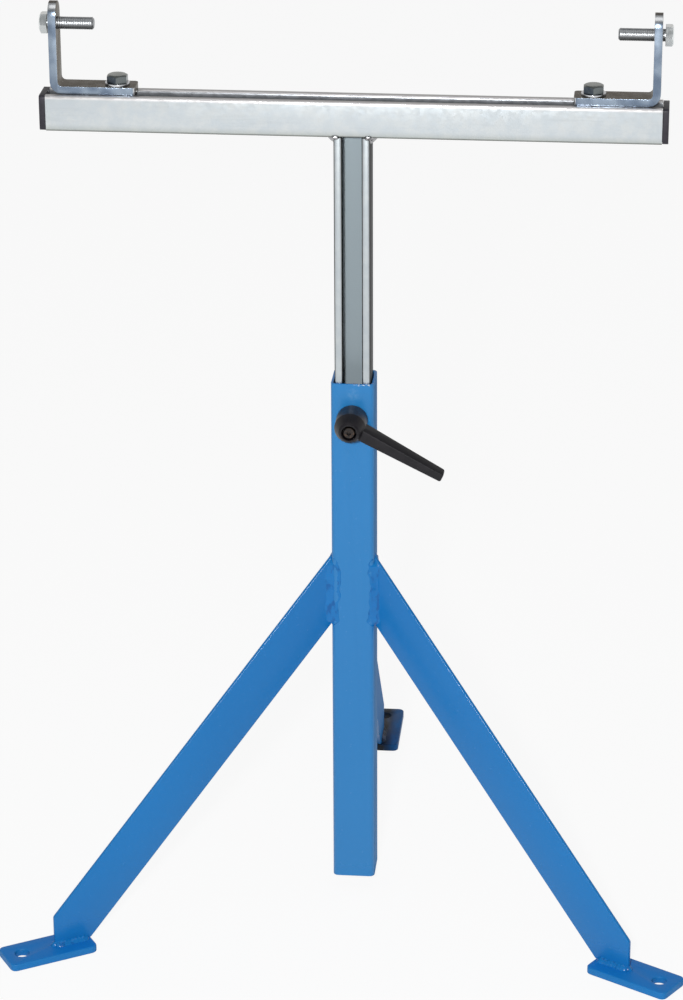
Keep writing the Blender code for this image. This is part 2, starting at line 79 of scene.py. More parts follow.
# Angles between faces: an edge is rounded above EDGE_ANGLE, shaded smooth below SMOOTH_ANGLE and merged away
# below FLAT_ANGLE. The lever's edges are rounded above LEVER_ANGLE and shaded smooth below it
EDGE_ANGLE = math.radians(40.0)
SMOOTH_ANGLE = math.radians(32.0)
LEVER_ANGLE = math.radians(18.0)
FLAT_ANGLE = math.radians(0.3)

# Pivot and bracket bolts
BOLT_SIZE = 0.014
BOLT_FLATS = 0.022
BOLT_HEAD = 0.0088
BOLT_CROWN = 0.0102
BOLT_SIDES = 48
HEX_TURN = math.radians(60.0)
CROWN_SLOPE = math.tan(math.radians(30.0))
CROWN_TOP = 0.8
HEAD_EDGE = 0.0003
HEAD_DOME = 0.0002
THREAD_PITCH = 0.0020
THREAD_DEPTH = 0.00018
THREAD_STEPS = 10
TIP_CHAMFER = 0.0018

# Weld ripples, and the waves of a weld's wandering: share, slowest and fastest pace
RIPPLE = 0.0046
RIPPLE_DIP = 0.75
WANDER = ((0.50, 0.15, 0.45), (0.30, 0.6, 1.1), (0.20, 1.4, 2.4))

# Beads on flat seats: mesh fineness, and shares of the bead's own size
BEAD_STEP = 0.0009
BEAD_SIDES = 14
BEAD_ROWS = 8
BEAD_BLUNT = 0.03
BEAD_RIPPLED = 0.14
BEAD_SWELL = 0.16
BEAD_SWAY = 0.10

# Upright welds between the legs and the column, and the band that holds the corners of a leg's upper end
LEG_END_BAND = 0.001
FILLET_STEPS = 9
FILLET_END = 0.006
FILLET_SINK = 0.0003
FILLET_ROOT = 0.0015
FILLET_BLUNT = 0.06
FILLET_RIPPLED = 0.34
FILLET_SWELL = 0.25
FLOW_ALONG = 0.4
FLOW_OUT = 0.25
BROW_OUT = 0.9
LEG_REACH = 0.0080
COLUMN_REACH = {"front_left": 0.0095, "front_right": 0.0062, "rear": 0.0080}
REACH_SWAY = 0.0030
CORNER_BULGE = 0.0034
VALLEY_BULGE = 0.0060
CORNER_ROOT = 0.0049
VALLEY_ROOT = 0.0030

# Sizes of the beads on the feet and under the rail
FOOT_BEAD = 0.0155
FOOT_BEAD_TALL = 0.0048
HEEL_GAP = 0.003
TOE_OVER = 0.002
POST_BEAD = 0.0230
POST_BEAD_TALL = 0.0080
POST_BEAD_GAP = 0.001
LIP_BEAD = 0.0062
LIP_BEAD_TALL = 0.0020
LIP_BEAD_LENGTH = 0.006
LIP_BEAD_OVER = 0.002

# Seeds of the welds' wandering
SEED_STEP = 10
SEED_APART = 1000
COLUMN_SEED = 20
FOOT_SEED = 60
TOE_SEED = 5
POST_SEED = 95
LIP_SEED = 105

# Wear on the paint: scuffs over the soles, a smear and chips at the column's rim. Painted shade on the rear
# foot, with the column's painted shadow across its middle
SCUFF_BELOW = 0.001
SCUFF_ABOVE = 0.030
SMEAR_AT = Vector((0.001, 0.0, -0.012))
SMEAR_REACH = (0.002, 0.010)
CHIP_AT = Vector((0.014, 0.0, 0.0))
CHIP_REACH = (0.004, 0.014)
RIM_FROM = 0.0026
RIM_TO = 0.0004
# Half widths, inner and outer, of the column's painted shadow across the rear foot
COLUMN_SHADOW_HALF = (0.004, 0.019)

# Zones of the zinc channels and of the lever, as depths below their outsides
# Height of the painted shade along the rail's foot
RAIL_FOOT_SHADE_HEIGHT = 0.010
# Band below the rail's top that takes a painted highlight
RAIL_HIGHLIGHT_FROM = 0.005
RAIL_HIGHLIGHT_TO = 0.002
# Depths that bound the painted shade inside the channels' hollows
SKIN_FROM = 0.0022
SKIN_TO = 0.0012
LIP_SKIN_FROM = 0.0020
LIP_SKIN_TO = 0.0010
WALL_FROM = 0.006
WALL_TO = 0.004
COLLAR = 0.028
COLLAR_BLUR = 0.0006

# Colours of the paint, linear. A pair holds the two tones that its patches run between
COLUMN_BLUE = ((0.026, 0.222, 0.545), (0.030, 0.236, 0.570))
LEG_BLUE = ((0.005, 0.185, 0.520), (0.007, 0.197, 0.545))
# The second tone is painted shade, for dark streaks on the weld beads
BEAD_BLUE_AND_SHADE = ((0.005, 0.185, 0.520), (0.003, 0.120, 0.385))
# Painted shade: the rear foot's paint in two darker tones
SHADED_FOOT_BLUE = ((0.003, 0.095, 0.29), (0.005, 0.14, 0.42))
DUST_BLUE = (0.10, 0.30, 0.58)
# Painted light: the tint on faces that look up
TOP_LIGHT_BLUE = (0.001, 0.20, 0.66)
SCUFF_BLUE = (0.09, 0.30, 0.60)
SMEAR_BLUE = (0.14, 0.36, 0.64)
CHIP_GREY = (0.62, 0.68, 0.74)
# Painted shadow of the column on the rear foot
COLUMN_SHADOW_DARK = (0.010, 0.014, 0.022)

# Colours of the zinc
RAIL_GREY = ((0.63, 0.68, 0.71), (0.69, 0.725, 0.735))
# Painted shade along the rail's foot
RAIL_FOOT_SHADE_GREY = (0.40, 0.42, 0.37)
# Painted shade on the rail's undersides
RAIL_UNDERSIDE_SHADE_GREY = (0.20, 0.21, 0.19)
# Painted highlight along the rail's top
RAIL_TOP_HIGHLIGHT_GREY = (0.95, 0.93, 0.93)
# Painted shade inside the rail's hollow
RAIL_HOLLOW_SHADE_GREY = (0.46, 0.48, 0.51)
POST_GREY = ((0.50, 0.545, 0.57), (0.56, 0.60, 0.615))
# Painted shade on the post's sides
POST_SIDE_SHADE_GREY = (0.20, 0.205, 0.20)
# Painted shade on the post's rounded corners
POST_CORNER_SHADE_GREY = (0.06, 0.06, 0.06)
# Painted shade: near black inside the post's hollow
POST_HOLLOW_SHADE_GREY = (0.006, 0.006, 0.007)
POST_WALL_GREY = (0.40, 0.475, 0.515)
CRYSTAL_GREY = (0.52, 0.58, 0.63)
STREAK_GREY = (0.54, 0.58, 0.60)
CHANNEL_TINT = (0.12, 0.12, 0.12)
BAR_CUT_BLUE = ((0.155, 0.205, 0.285), (0.315, 0.385, 0.475))
BAR_ROLLED_BROWN = ((0.20, 0.185, 0.165), (0.28, 0.265, 0.245))
BAR_GRAIN_GREY = (0.58, 0.60, 0.63)
# Painted highlight on the brackets' rounded front edges
BAR_EDGE_HIGHLIGHT_GREY = (0.88, 0.90, 0.92)
# Painted shade on the brackets' undersides
BAR_UNDERSIDE_SHADE_GREY = (0.05, 0.05, 0.05)
BAR_TINT = (0.45, 0.44, 0.42)
WASHER_GREY = ((0.62, 0.64, 0.67), (0.76, 0.78, 0.80))

# Colours of the bolts, the welds' bare metal and the plastic
PIVOT_GREY = ((0.84, 0.88, 0.88), (0.90, 0.93, 0.93))
THREAD_GREY = ((0.42, 0.435, 0.45), (0.50, 0.515, 0.53))
# Painted shade on the bolt heads' left flats, painted light on their right flats
HEAD_SIDE_SHADE_AND_LIGHT_GREY = ((0.055, 0.070, 0.090), (0.17, 0.19, 0.195))
HEAD_CLOUD_GREY = (0.22, 0.24, 0.24)
# Painted reflection on the bolt heads' tops
HEAD_TOP_REFLECTION_GREY = (0.31, 0.33, 0.315)
RUSTY_BLACK = ((0.045, 0.043, 0.043), (0.13, 0.085, 0.06))
WELD_GREY = ((0.44, 0.44, 0.45), (0.09, 0.085, 0.085))
CAP_BLACK = ((0.020, 0.018, 0.026), (0.032, 0.028, 0.040))
LEVER_BLACK = ((0.006, 0.0055, 0.008), (0.012, 0.0105, 0.014))
COLLAR_BLACK = (0.024, 0.023, 0.025)

# Floor, surroundings and lamps. A lamp has its place, its size and its power
FLOOR_SIZE = 150.0
FLOOR_DROP = 0.0004
FLOOR_COLOR = (0.94, 0.94, 0.94, 1.0)
FLOOR_GLOW = 0.91
WHITE = (1.0, 1.0, 1.0, 1.0)
SKY = (0.22, 0.225, 0.23, 1.0)
SKY_BAND = (0.64, 0.625, 0.615, 1.0)
BAND_BEHIND = (-0.2, 0.6)
BAND_TOP = (0.66, 0.44)
KEY = ((0.03, -3.5, 2.05), (0.24, 0.24), 84.0)
FILL = ((-2.4, -2.2, 1.8), (1.4, 1.8), 5.0)
TOP = ((0.0, -0.4, 3.0), (2.0, 1.2), 5.0)
LAMP_TARGET = Vector((0.0, 0.0, 0.6))

# Camera that matches the photograph, from the column's axis on the floor
CAMERA_FROM_AXIS = Vector((0.355, -3.9061, 2.1452))
CAMERA_YAW = 0.0945
CAMERA_PITCH = -0.3967
CAMERA_ROLL = -0.0046
CAMERA_LENS = 131.0
CAMERA_SENSOR = 36.0

# Places taken from the frame
column_low, column_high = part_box("column_tube")
rail_low, rail_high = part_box("top_rail")
post_low, post_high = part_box("post_channel")
foot_low, foot_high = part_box("foot_rear")
leg_low, leg_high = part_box("leg_rear")
lever_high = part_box("lever_handle")[1]
AXIS = Vector(((column_low.x + column_high.x) / 2, (column_low.y + column_high.y) / 2, 0.0))
COLUMN_HALF = (column_high.x - column_low.x) / 2
SOLE = foot_high.z
LEG_HALF = (leg_high.x - leg_low.x) / 2
LEG_HEEL = foot_low.y - AXIS.y
LEG_TOE = leg_high.y - AXIS.y
leg_end = [vert.co.z for vert in NODES["leg_rear"].data.vertices if vert.co.y < leg_low.y + LEG_END_BAND]
LEG_DROP = max(leg_end) - min(leg_end)
LEG_SLOPE = (min(leg_end) - SOLE) / (LEG_HEEL - (leg_low.y - AXIS.y))


def leg_way(name):
    """Level direction from the column's axis to a foot."""
    low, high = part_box(f"foot_{name}")
    way = (low + high) / 2 - AXIS
    way.z = 0.0
    return way.normalized()


LEG_WAYS = {name: leg_way(name) for name in ("rear", "front_left", "front_right")}


class Look:
    """A procedural material in real sizes: its coordinates are metres on the piece."""

    def __init__(self, name):
        self.material = bpy.data.materials.new(name)
        self.material.use_nodes = True
        self.tree = self.material.node_tree
        self.shader = self.tree.nodes["Principled BSDF"]
        self.coords = self.tree.nodes.new("ShaderNodeTexCoord")
        self.place = self.coords.outputs["Object"]

    def put(self, socket, value):
        """Link an output to a socket, or set a plain value on it."""
        if isinstance(value, bpy.types.NodeSocket):
            self.tree.links.new(value, socket)
        else:
            socket.default_value = value

    def set(self, **values):
        """Put values on the shader's sockets, named with _ for a space."""
        for name, value in values.items():
            if isinstance(value, tuple):
                value = (*value, 1.0)
            self.put(self.shader.inputs[name.replace("_", " ")], value)

    def stretched(self, scale):
        """The place on the piece, scaled along each axis."""
        node = self.tree.nodes.new("ShaderNodeMapping")
        node.inputs["Scale"].default_value = scale
        self.put(node.inputs["Vector"], self.place)
        return node.outputs["Vector"]

    def noise(self, size, detail=3.0, rough=0.5, stretch=None):
        """Soft noise with features of about the given size in metres."""
        node = self.tree.nodes.new("ShaderNodeTexNoise")
        node.inputs["Scale"].default_value = 1.0 / size
        node.inputs["Detail"].default_value = detail
        node.inputs["Roughness"].default_value = rough
        self.put(node.inputs["Vector"], self.stretched(stretch) if stretch else self.place)
        return node.outputs["Fac"]

    def cells(self, size):
        """One random value for each crystal of about the given size."""
        node = self.tree.nodes.new("ShaderNodeTexVoronoi")
        node.inputs["Scale"].default_value = 1.0 / size
        self.put(node.inputs["Vector"], self.place)
        split = self.tree.nodes.new("ShaderNodeSeparateColor")
        self.put(split.inputs["Color"], node.outputs["Color"])
        return split.outputs["Red"]

    def axis(self, name, vector=None):
        """One part of a vector, or of the place on the piece."""
        node = self.tree.nodes.new("ShaderNodeSeparateXYZ")
        self.put(node.inputs["Vector"], vector or self.place)
        return node.outputs[name]

    def facing(self, name):
        """The part of the piece's own surface normal along an axis."""
        return self.axis(name, self.coords.outputs["Normal"])

    def calc(self, kind, a, b=0.0):
        """One sum, by the name of its operation in Blender."""
        node = self.tree.nodes.new("ShaderNodeMath")
        node.operation = kind
        self.put(node.inputs[0], a)
        self.put(node.inputs[1], b)
        return node.outputs[0]

    def times(self, a, b):
        return self.calc("MULTIPLY", a, b)

    def turned(self, name):
        """How far a face is turned to either end of an axis, from zero to one."""
        return self.calc("ABSOLUTE", self.facing(name))

    def off(self, name, middle):
        """Distance from a middle plane, along an axis."""
        return self.calc("ABSOLUTE", self.calc("SUBTRACT", self.axis(name), middle))

    def span(self, value, low, high, to_low=0.0, to_high=1.0):
        """Map a value smoothly from one range to another."""
        node = self.tree.nodes.new("ShaderNodeMapRange")
        node.interpolation_type = "SMOOTHSTEP"
        self.put(node.inputs["Value"], value)
        for name, number in (("From Min", low), ("From Max", high), ("To Min", to_low), ("To Max", to_high)):
            node.inputs[name].default_value = number
        return node.outputs["Result"]

    def fade(self, value, low, high, most=1.0):
        """The most below a range of values, falling to zero above it."""
        return self.span(value, low, high, most, 0.0)

    def near(self, point, inner, outer):
        """One close to a point, falling to zero between two distances."""
        node = self.tree.nodes.new("ShaderNodeVectorMath")
        node.operation = "DISTANCE"
        self.put(node.inputs[0], self.place)
        node.inputs[1].default_value = point
        return self.fade(node.outputs["Value"], inner, outer)

    def mix(self, factor, a, b):
        """Run from one colour to another."""
        node = self.tree.nodes.new("ShaderNodeMix")
        node.data_type = "RGBA"
        self.put(node.inputs["Factor"], factor)
        for name, color in (("A", a), ("B", b)):
            socket = [s for s in node.inputs if s.name == name and s.type == "RGBA"][0]
            self.put(socket, (*color, 1.0) if isinstance(color, tuple) else color)
        return [s for s in node.outputs if s.type == "RGBA"][0]

    def bump(self, height, depth, strength):
        """Roughen the shaded surface by a height, its depth in metres."""
        node = self.tree.nodes.new("ShaderNodeBump")
        node.inputs["Distance"].default_value = depth
        node.inputs["Strength"].default_value = strength
        self.put(node.inputs["Height"], height)
        self.put(self.shader.inputs["Normal"], node.outputs["Normal"])


def paint_look(name, tones):
    """Glossy blue paint, with painted light tinting the faces that look up a deeper blue, and chalky on those
    that look aside.

    It has a slow drift of tone, dust, scuffs low down, and a smear and chips at the column's rim.
    """
    look = Look(name)
    height = look.axis("Z")
    drift = look.noise(size=0.30, detail=2.0)
    fine = look.noise(size=0.006, detail=4.0, rough=0.6)
    color = look.mix(look.span(drift, 0.3, 0.7), *tones)
    color = look.mix(look.span(fine, 0.45, 0.85, to_high=0.06), color, DUST_BLUE)
    # Painted light: faces that look up are tinted a deeper blue
    color = look.mix(look.span(look.facing("Z"), 0.80, 0.97, to_high=0.6), color, TOP_LIGHT_BLUE)

    low_down = look.fade(height, SOLE - SCUFF_BELOW, SOLE + SCUFF_ABOVE)
    scuffs = look.noise(size=0.003, detail=4.0, rough=0.7, stretch=(1.0, 0.35, 1.0))
    color = look.mix(look.times(low_down, look.span(scuffs, 0.66, 0.72)), color, SCUFF_BLUE)

    rim_middle = Vector((AXIS.x, column_low.y, column_high.z))
    smear = look.times(look.near(rim_middle + SMEAR_AT, *SMEAR_REACH), look.span(fine, 0.3, 0.7))
    color = look.mix(look.times(smear, 0.45), color, SMEAR_BLUE)
    rim = look.span(height, column_high.z - RIM_FROM, column_high.z - RIM_TO)
    rim = look.times(rim, look.near(rim_middle + CHIP_AT, *CHIP_REACH))
    chips = look.span(look.noise(size=0.0034, detail=3.0, rough=0.65), 0.52, 0.58)
    color = look.mix(look.times(rim, chips), color, CHIP_GREY)

    gloss = look.span(fine, 0.2, 0.8, 0.21, 0.28)
    chalky = look.span(look.turned("X"), 0.85, 0.97, to_high=0.42)
    chalky = look.calc("ADD", chalky, look.times(low_down, 0.25))
    look.set(Base_Color=color, Roughness=look.calc("ADD", gloss, chalky), Specular_IOR_Level=0.35)
    look.bump(look.noise(size=0.0018, detail=2.0), depth=0.00005, strength=0.4)
    return look.material


def shaded_foot_look():
    """The rear foot's paint, darker all over as painted shade, with the column's painted shadow across its
    middle.
    """
    look = Look("blue_shaded_foot")
    cloud = look.noise(size=0.010, detail=3.0, rough=0.6, stretch=(1.0, 0.4, 1.0))
    # Painted shade: the whole rear foot darker
    color = look.mix(look.span(cloud, 0.35, 0.7), *SHADED_FOOT_BLUE)
    # Painted shadow of the column across the foot's middle, broken up by the clouds
    middle = look.fade(look.off("X", AXIS.x), *COLUMN_SHADOW_HALF)
    column_shadow = look.times(middle, look.span(cloud, 0.25, 0.55, 0.5, 1.0))
    rough = look.span(cloud, 0.2, 0.8, 0.38, 0.55)
    look.set(Base_Color=look.mix(column_shadow, color, COLUMN_SHADOW_DARK), Roughness=rough, Specular_IOR_Level=0.25)
    look.bump(look.noise(size=0.0018, detail=2.0), depth=0.00005, strength=0.4)
    return look.material


def bead_look():
    """The legs' paint on the weld beads, with dark streaks of painted shade as in the dips beside the ripples.
    """
    look = Look("blue_bead")
    shade_streaks = look.noise(size=0.006, detail=3.0, rough=0.6, stretch=(1.0, 1.0, 0.45))
    # Painted shade: dark streaks along the beads, as in the dips beside the ripples
    color = look.mix(look.span(shade_streaks, 0.50, 0.68), *BEAD_BLUE_AND_SHADE)
    rough = look.span(shade_streaks, 0.3, 0.7, 0.18, 0.26)
    look.set(Base_Color=color, Roughness=rough, Specular_IOR_Level=0.35)
    look.bump(look.noise(size=0.0035, detail=3.0, rough=0.6), depth=0.00025, strength=0.5)
    return look.material


def galvanised_look(name, tones, rolled):
    """Zinc on rolled channel: faint crystals, pale patches, and streaks along the rolling direction."""
    look = Look(name)
    crystals = look.cells(size=0.0040)
    patches = look.noise(size=0.014, detail=4.0, rough=0.6)
    streaks = look.noise(size=0.004, detail=3.0, rough=0.55, stretch=rolled)
    color = look.mix(look.span(patches, 0.35, 0.68), *tones)
    color = look.mix(look.span(crystals, 0.1, 0.9, to_high=0.16), color, CRYSTAL_GREY)
    color = look.mix(look.span(streaks, 0.52, 0.75, to_high=0.30), color, STREAK_GREY)
    rough = look.span(crystals, 0.0, 1.0, 0.28, 0.38)
    look.set(Metallic=0.82, Roughness=rough, Specular_Tint=CHANNEL_TINT)
    look.bump(streaks, depth=0.00006, strength=0.4)
    return look, color


def rail_look():
    """The rail: a painted highlight along its top, and painted shade along its foot, on its undersides and
    inside its hollow.
    """
    look, color = galvanised_look("galvanised_rail", RAIL_GREY, rolled=(0.06, 1.0, 1.0))
    height = look.axis("Z")
    # Painted shade: darker towards the rail's foot
    shaded_zone = look.fade(height, rail_low.z, rail_low.z + RAIL_FOOT_SHADE_HEIGHT, most=0.5)
    color = look.mix(shaded_zone, color, RAIL_FOOT_SHADE_GREY)
    # Painted shade: faces that turn down are darker
    color = look.mix(look.fade(look.facing("Z"), -0.65, -0.05, most=0.85), color, RAIL_UNDERSIDE_SHADE_GREY)
    # Painted highlight: the top of the rail near white
    top_highlight = look.span(height, rail_high.z - RAIL_HIGHLIGHT_FROM, rail_high.z - RAIL_HIGHLIGHT_TO)
    color = look.mix(top_highlight, color, RAIL_TOP_HIGHLIGHT_GREY)

    # Painted shade: the inside of the rail's hollow darker
    half = (rail_high.y - rail_low.y) / 2
    off_middle = look.off("Y", (rail_low.y + rail_high.y) / 2)
    hollow = look.fade(off_middle, half - SKIN_FROM, half - SKIN_TO)
    hollow = look.times(hollow, look.fade(height, rail_high.z - LIP_SKIN_FROM, rail_high.z - LIP_SKIN_TO))
    look.set(Base_Color=look.mix(hollow, color, RAIL_HOLLOW_SHADE_GREY))
    return look.material


def post_look():
    """The post: matt zinc, with painted shade darkening its sides and rounded corners, near-black painted shade
    in its hollow, and a bluish back wall.
    """
    look, color = galvanised_look("galvanised_post", POST_GREY, rolled=(1.0, 1.0, 0.06))
    depth = look.axis("Y")
    turned = look.turned("X")
    # Painted shade: the post's sides darker
    color = look.mix(look.span(turned, 0.5, 0.95, to_high=0.85), color, POST_SIDE_SHADE_GREY)
    # Painted shade: the rounded corners between front and sides darker
    corner = look.times(look.span(turned, 0.45, 0.75), look.fade(turned, 0.95, 0.995))
    color = look.mix(look.times(corner, 0.85), color, POST_CORNER_SHADE_GREY)

    # Painted shade: the inside of the post's hollow near black, up to its back wall
    half = (post_high.x - post_low.x) / 2
    off_middle = look.off("X", (post_low.x + post_high.x) / 2)
    hollow = look.fade(off_middle, half - SKIN_FROM, half - SKIN_TO)
    hollow = look.times(hollow, look.span(depth, post_low.y + LIP_SKIN_TO, post_low.y + LIP_SKIN_FROM))
    color = look.mix(hollow, color, POST_HOLLOW_SHADE_GREY)
    wall = look.times(hollow, look.span(depth, post_high.y - WALL_FROM, post_high.y - WALL_TO))
    color = look.mix(wall, color, POST_WALL_GREY)

    look.set(Base_Color=color, Metallic=look.span(wall, 0.0, 1.0, 0.82, 0.12))
    # Rougher in the shaded hollow, less so on its back wall
    shaded_zone = look.calc("SUBTRACT", hollow, look.times(wall, 0.7))
    look.set(Roughness=look.span(shaded_zone, 0.0, 1.0, 0.33, 0.95))
    return look.material


def bar_look():
    """Plated flat bar: bluish on its cut edges, brown on its rolled faces, with a painted highlight on the
    rounded front edges between them and painted shade on its undersides.
    """
    look = Look("zinc_bar")
    cloud = look.noise(size=0.011, detail=4.0, rough=0.6)
    grain = look.noise(size=0.0013, detail=2.0, stretch=(1.0, 0.2, 1.0))
    drift = look.noise(size=0.024, detail=1.5)
    cut_edge = look.span(look.turned("Y"), 0.35, 0.80)
    cut = look.mix(look.span(drift, 0.36, 0.64), *BAR_CUT_BLUE)
    rolled = look.mix(look.span(cloud, 0.35, 0.7), *BAR_ROLLED_BROWN)
    color = look.mix(cut_edge, rolled, cut)
    color = look.mix(look.span(grain, 0.58, 0.8, to_high=0.35), color, BAR_GRAIN_GREY)

    up = look.facing("Z")
    front = look.times(look.facing("Y"), -1.0)
    # Painted highlight: near white on rounded edges that look to the front and not down
    edge_highlight = look.times(look.span(front, 0.30, 0.50), look.fade(front, 0.78, 0.94))
    edge_highlight = look.times(edge_highlight, look.span(up, -0.3, 0.0))
    color = look.mix(edge_highlight, color, BAR_EDGE_HIGHLIGHT_GREY)
    # Painted shade: faces that turn down near black
    color = look.mix(look.fade(up, -0.35, -0.02, most=0.9), color, BAR_UNDERSIDE_SHADE_GREY)

    look.set(Base_Color=color, Metallic=look.span(cut_edge, 0.0, 1.0, 0.80, 1.0))
    look.set(Roughness=look.span(cloud, 0.2, 0.8, 0.20, 0.32), Specular_Tint=BAR_TINT)
    look.bump(grain, depth=0.00004, strength=0.4)
    return look.material


def plated_look(name, tones, size, shade=0.45, turns=(-0.70, 0.05), rough=(0.22, 0.32)):
    """Plated steel with cloudy patches, and painted shade darkening it as it turns to face the floor."""
    look = Look(name)
    cloud = look.noise(size, detail=4.0, rough=0.6)
    color = look.mix(look.span(cloud, 0.35, 0.7), *tones)
    # Painted shade: a darker tone on faces that turn to the floor
    below = tuple(shade * part for part in tones[0])
    color = look.mix(look.fade(look.facing("Z"), *turns, most=0.92), color, below)
    look.set(Base_Color=color, Metallic=1.0, Roughness=look.span(cloud, 0.2, 0.8, *rough))
    look.bump(look.noise(size=0.0009, detail=2.0), depth=0.00002, strength=0.3)
    return look.material


def head_look():
    """Matt dark heads of the bracket bolts, with painted shade making their left flats bluer and darker, and
    painted light making their right flats and their tops paler.
    """
    look = Look("bolt_dark")
    cloud = look.noise(size=0.006, detail=4.0, rough=0.6)
    # Painted shade on the left flats and painted light on the right ones
    color = look.mix(look.span(look.facing("X"), -0.35, 0.35), *HEAD_SIDE_SHADE_AND_LIGHT_GREY)
    color = look.mix(look.span(cloud, 0.35, 0.7, to_high=0.3), color, HEAD_CLOUD_GREY)
    # Painted reflection: the tops paler
    color = look.mix(look.span(look.facing("Z"), 0.75, 0.95), color, HEAD_TOP_REFLECTION_GREY)
    look.set(Base_Color=color, Metallic=1.0, Roughness=look.span(cloud, 0.2, 0.8, 0.20, 0.34))
    look.bump(look.noise(size=0.0009, detail=2.0), depth=0.00003, strength=0.4)
    return look.material


def plastic_look(name, tones):
    """Glass-filled black plastic with a fine moulded grain and scuffed patches."""
    look = Look(name)
    cloud = look.noise(size=0.010, detail=3.0, rough=0.6)
    color = look.mix(look.span(cloud, 0.35, 0.7), *tones)
    look.set(Base_Color=color, Roughness=look.span(cloud, 0.2, 0.8, 0.36, 0.52), Specular_IOR_Level=0.4)
    look.bump(look.noise(size=0.0007, detail=2.0), depth=0.00005, strength=0.5)
    return look, color


def lever_look():
    """The lever's plastic, paler on the hub's collar, which reaches forward from the column's side."""
    look, color = plastic_look("plastic_lever", LEVER_BLACK)
    edge = lever_high.y - COLLAR
    collar = look.span(look.axis("Y"), edge - COLLAR_BLUR, edge + COLLAR_BLUR)
    look.set(Base_Color=look.mix(collar, color, COLLAR_BLACK), Specular_IOR_Level=0.32)
    return look.material


def dark_steel_look():
    """Blackened steel of the lever's insert, screw and spring, with a rusty tint in patches."""
    look = Look("dark_steel")
    cloud = look.noise(size=0.0025, detail=4.0, rough=0.6)
    color = look.mix(look.span(cloud, 0.45, 0.75), *RUSTY_BLACK)
    look.set(Base_Color=color, Metallic=1.0, Roughness=look.span(cloud, 0.2, 0.8, 0.32, 0.5))
    look.bump(look.noise(size=0.0006, detail=2.0), depth=0.00003, strength=0.4)
    return look.material


def weld_look():
    """Bare weld metal under the rail: bright, with burnt patches."""
    look = Look("weld_metal")
    cloud = look.noise(size=0.003, detail=4.0, rough=0.6)
    color = look.mix(look.span(cloud, 0.45, 0.7), *WELD_GREY)
    look.set(Base_Color=color, Metallic=1.0, Roughness=look.span(cloud, 0.2, 0.8, 0.18, 0.42))
    look.bump(look.noise(size=0.0012, detail=3.0), depth=0.0001, strength=0.5)
    return look.material


COLUMN_PAINT = paint_look("blue_column", COLUMN_BLUE)
LEG_PAINT = paint_look("blue_leg", LEG_BLUE)
# Paint of the rear foot, with painted shade and the column's painted shadow
SHADED_FOOT_PAINT = shaded_foot_look()
BEAD_PAINT = bead_look()
RAIL_ZINC = rail_look()
POST_ZINC = post_look()
BAR_ZINC = bar_look()
BRIGHT_ZINC = plated_look("zinc_bright", WASHER_GREY, size=0.006)
PIVOT_STEEL = plated_look("bolt_pale", PIVOT_GREY, size=0.006, shade=0.6)
THREAD_STEEL = plated_look(
    "bolt_thread", THREAD_GREY, size=0.004, shade=0.2, turns=(-0.35, 0.25), rough=(0.34, 0.42)
)
HEAD_STEEL = head_look()
CAP_PLASTIC = plastic_look("plastic_cap", CAP_BLACK)[0].material
LEVER_PLASTIC = lever_look()
DARK_STEEL = dark_steel_look()
WELD_METAL = weld_look()


def look_of(node):
    """The finish that a CAD node shows."""
    slot = SLOT_OF[node]
    if slot == "blue_paint":
        return {"column_tube": COLUMN_PAINT, "foot_rear": SHADED_FOOT_PAINT}.get(node, LEG_PAINT)
    if slot == "galvanised":
        return RAIL_ZINC if node == "top_rail" else POST_ZINC
    if slot == "zinc":
        return BAR_ZINC if node in ("bracket_left", "bracket_right") else BRIGHT_ZINC
    if slot == "bolt_steel":
        return HEAD_STEEL if node.startswith("bracket_bolt") else PIVOT_STEEL
    if slot == "black_plastic":
        return LEVER_PLASTIC if node == "lever_handle" else CAP_PLASTIC
    return DARK_STEEL


def add_piece(name, bm, body, material, smooth=SMOOTH_ANGLE):
    """Make a smooth-shaded piece from a bmesh in the row frame, riding on a CAD body."""
    bmesh.ops.recalc_face_normals(bm, faces=bm.faces)
    mesh = bpy.data.meshes.new(name)
    bm.to_mesh(mesh)
    bm.free()
    mesh.shade_smooth()
    mesh.set_sharp_from_angle(angle=smooth)
    mesh.materials.append(material)
    piece = bpy.data.objects.new(name, mesh)
    bpy.context.scene.collection.objects.link(piece)
    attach(piece, body)
    return piece


def soften(node, width, edge=EDGE_ANGLE, smooth=SMOOTH_ANGLE):
    """Stand in for a CAD node with the same shape, its sharp edges rounded."""
    bm = bmesh.new()
    bm.from_mesh(NODES[node].data)
    bmesh.ops.remove_doubles(bm, verts=bm.verts, dist=SAME_POINT)
    bmesh.ops.dissolve_limit(bm, angle_limit=FLAT_ANGLE, verts=bm.verts, edges=bm.edges)
    bmesh.ops.recalc_face_normals(bm, faces=bm.faces)
    sharp = [e for e in bm.edges if e.is_manifold and e.calc_face_angle() > edge]
    bmesh.ops.bevel(
        bm, geom=sharp, offset=width, offset_type="OFFSET", segments=EDGE_STEPS, profile=0.5,
        affect="EDGES", clamp_overlap=True, miter_outer="ARC",
    )
    bmesh.ops.dissolve_degenerate(bm, dist=SAME_POINT, edges=bm.edges)
    piece = add_piece(f"{node}_soft", bm, BODY_OF[node], look_of(node), smooth)
    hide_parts(node)


def add_spring():
    """Stand in for the lever's return spring, which shortens as the handle lifts."""
    bm = bmesh.new()
    bm.from_mesh(NODES["lever_spring"].data)
    piece = add_piece("lever_spring_soft", bm, BODY_OF["lever_spring"], DARK_STEEL)
    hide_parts("lever_spring")
    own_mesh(piece)


def loft(loops):
    """Skin a row of equal loops, with a cap on each end."""
    bm = bmesh.new()
    rows = [[bm.verts.new(point) for point in loop] for loop in loops]
    count = len(rows[0])
    for near, far in zip(rows, rows[1:]):
        for side in range(count):
            after = (side + 1) % count
            bm.faces.new((near[side], near[after], far[after], far[side]))
    bm.faces.new(rows[0])
    bm.faces.new(rows[-1])
    return bm


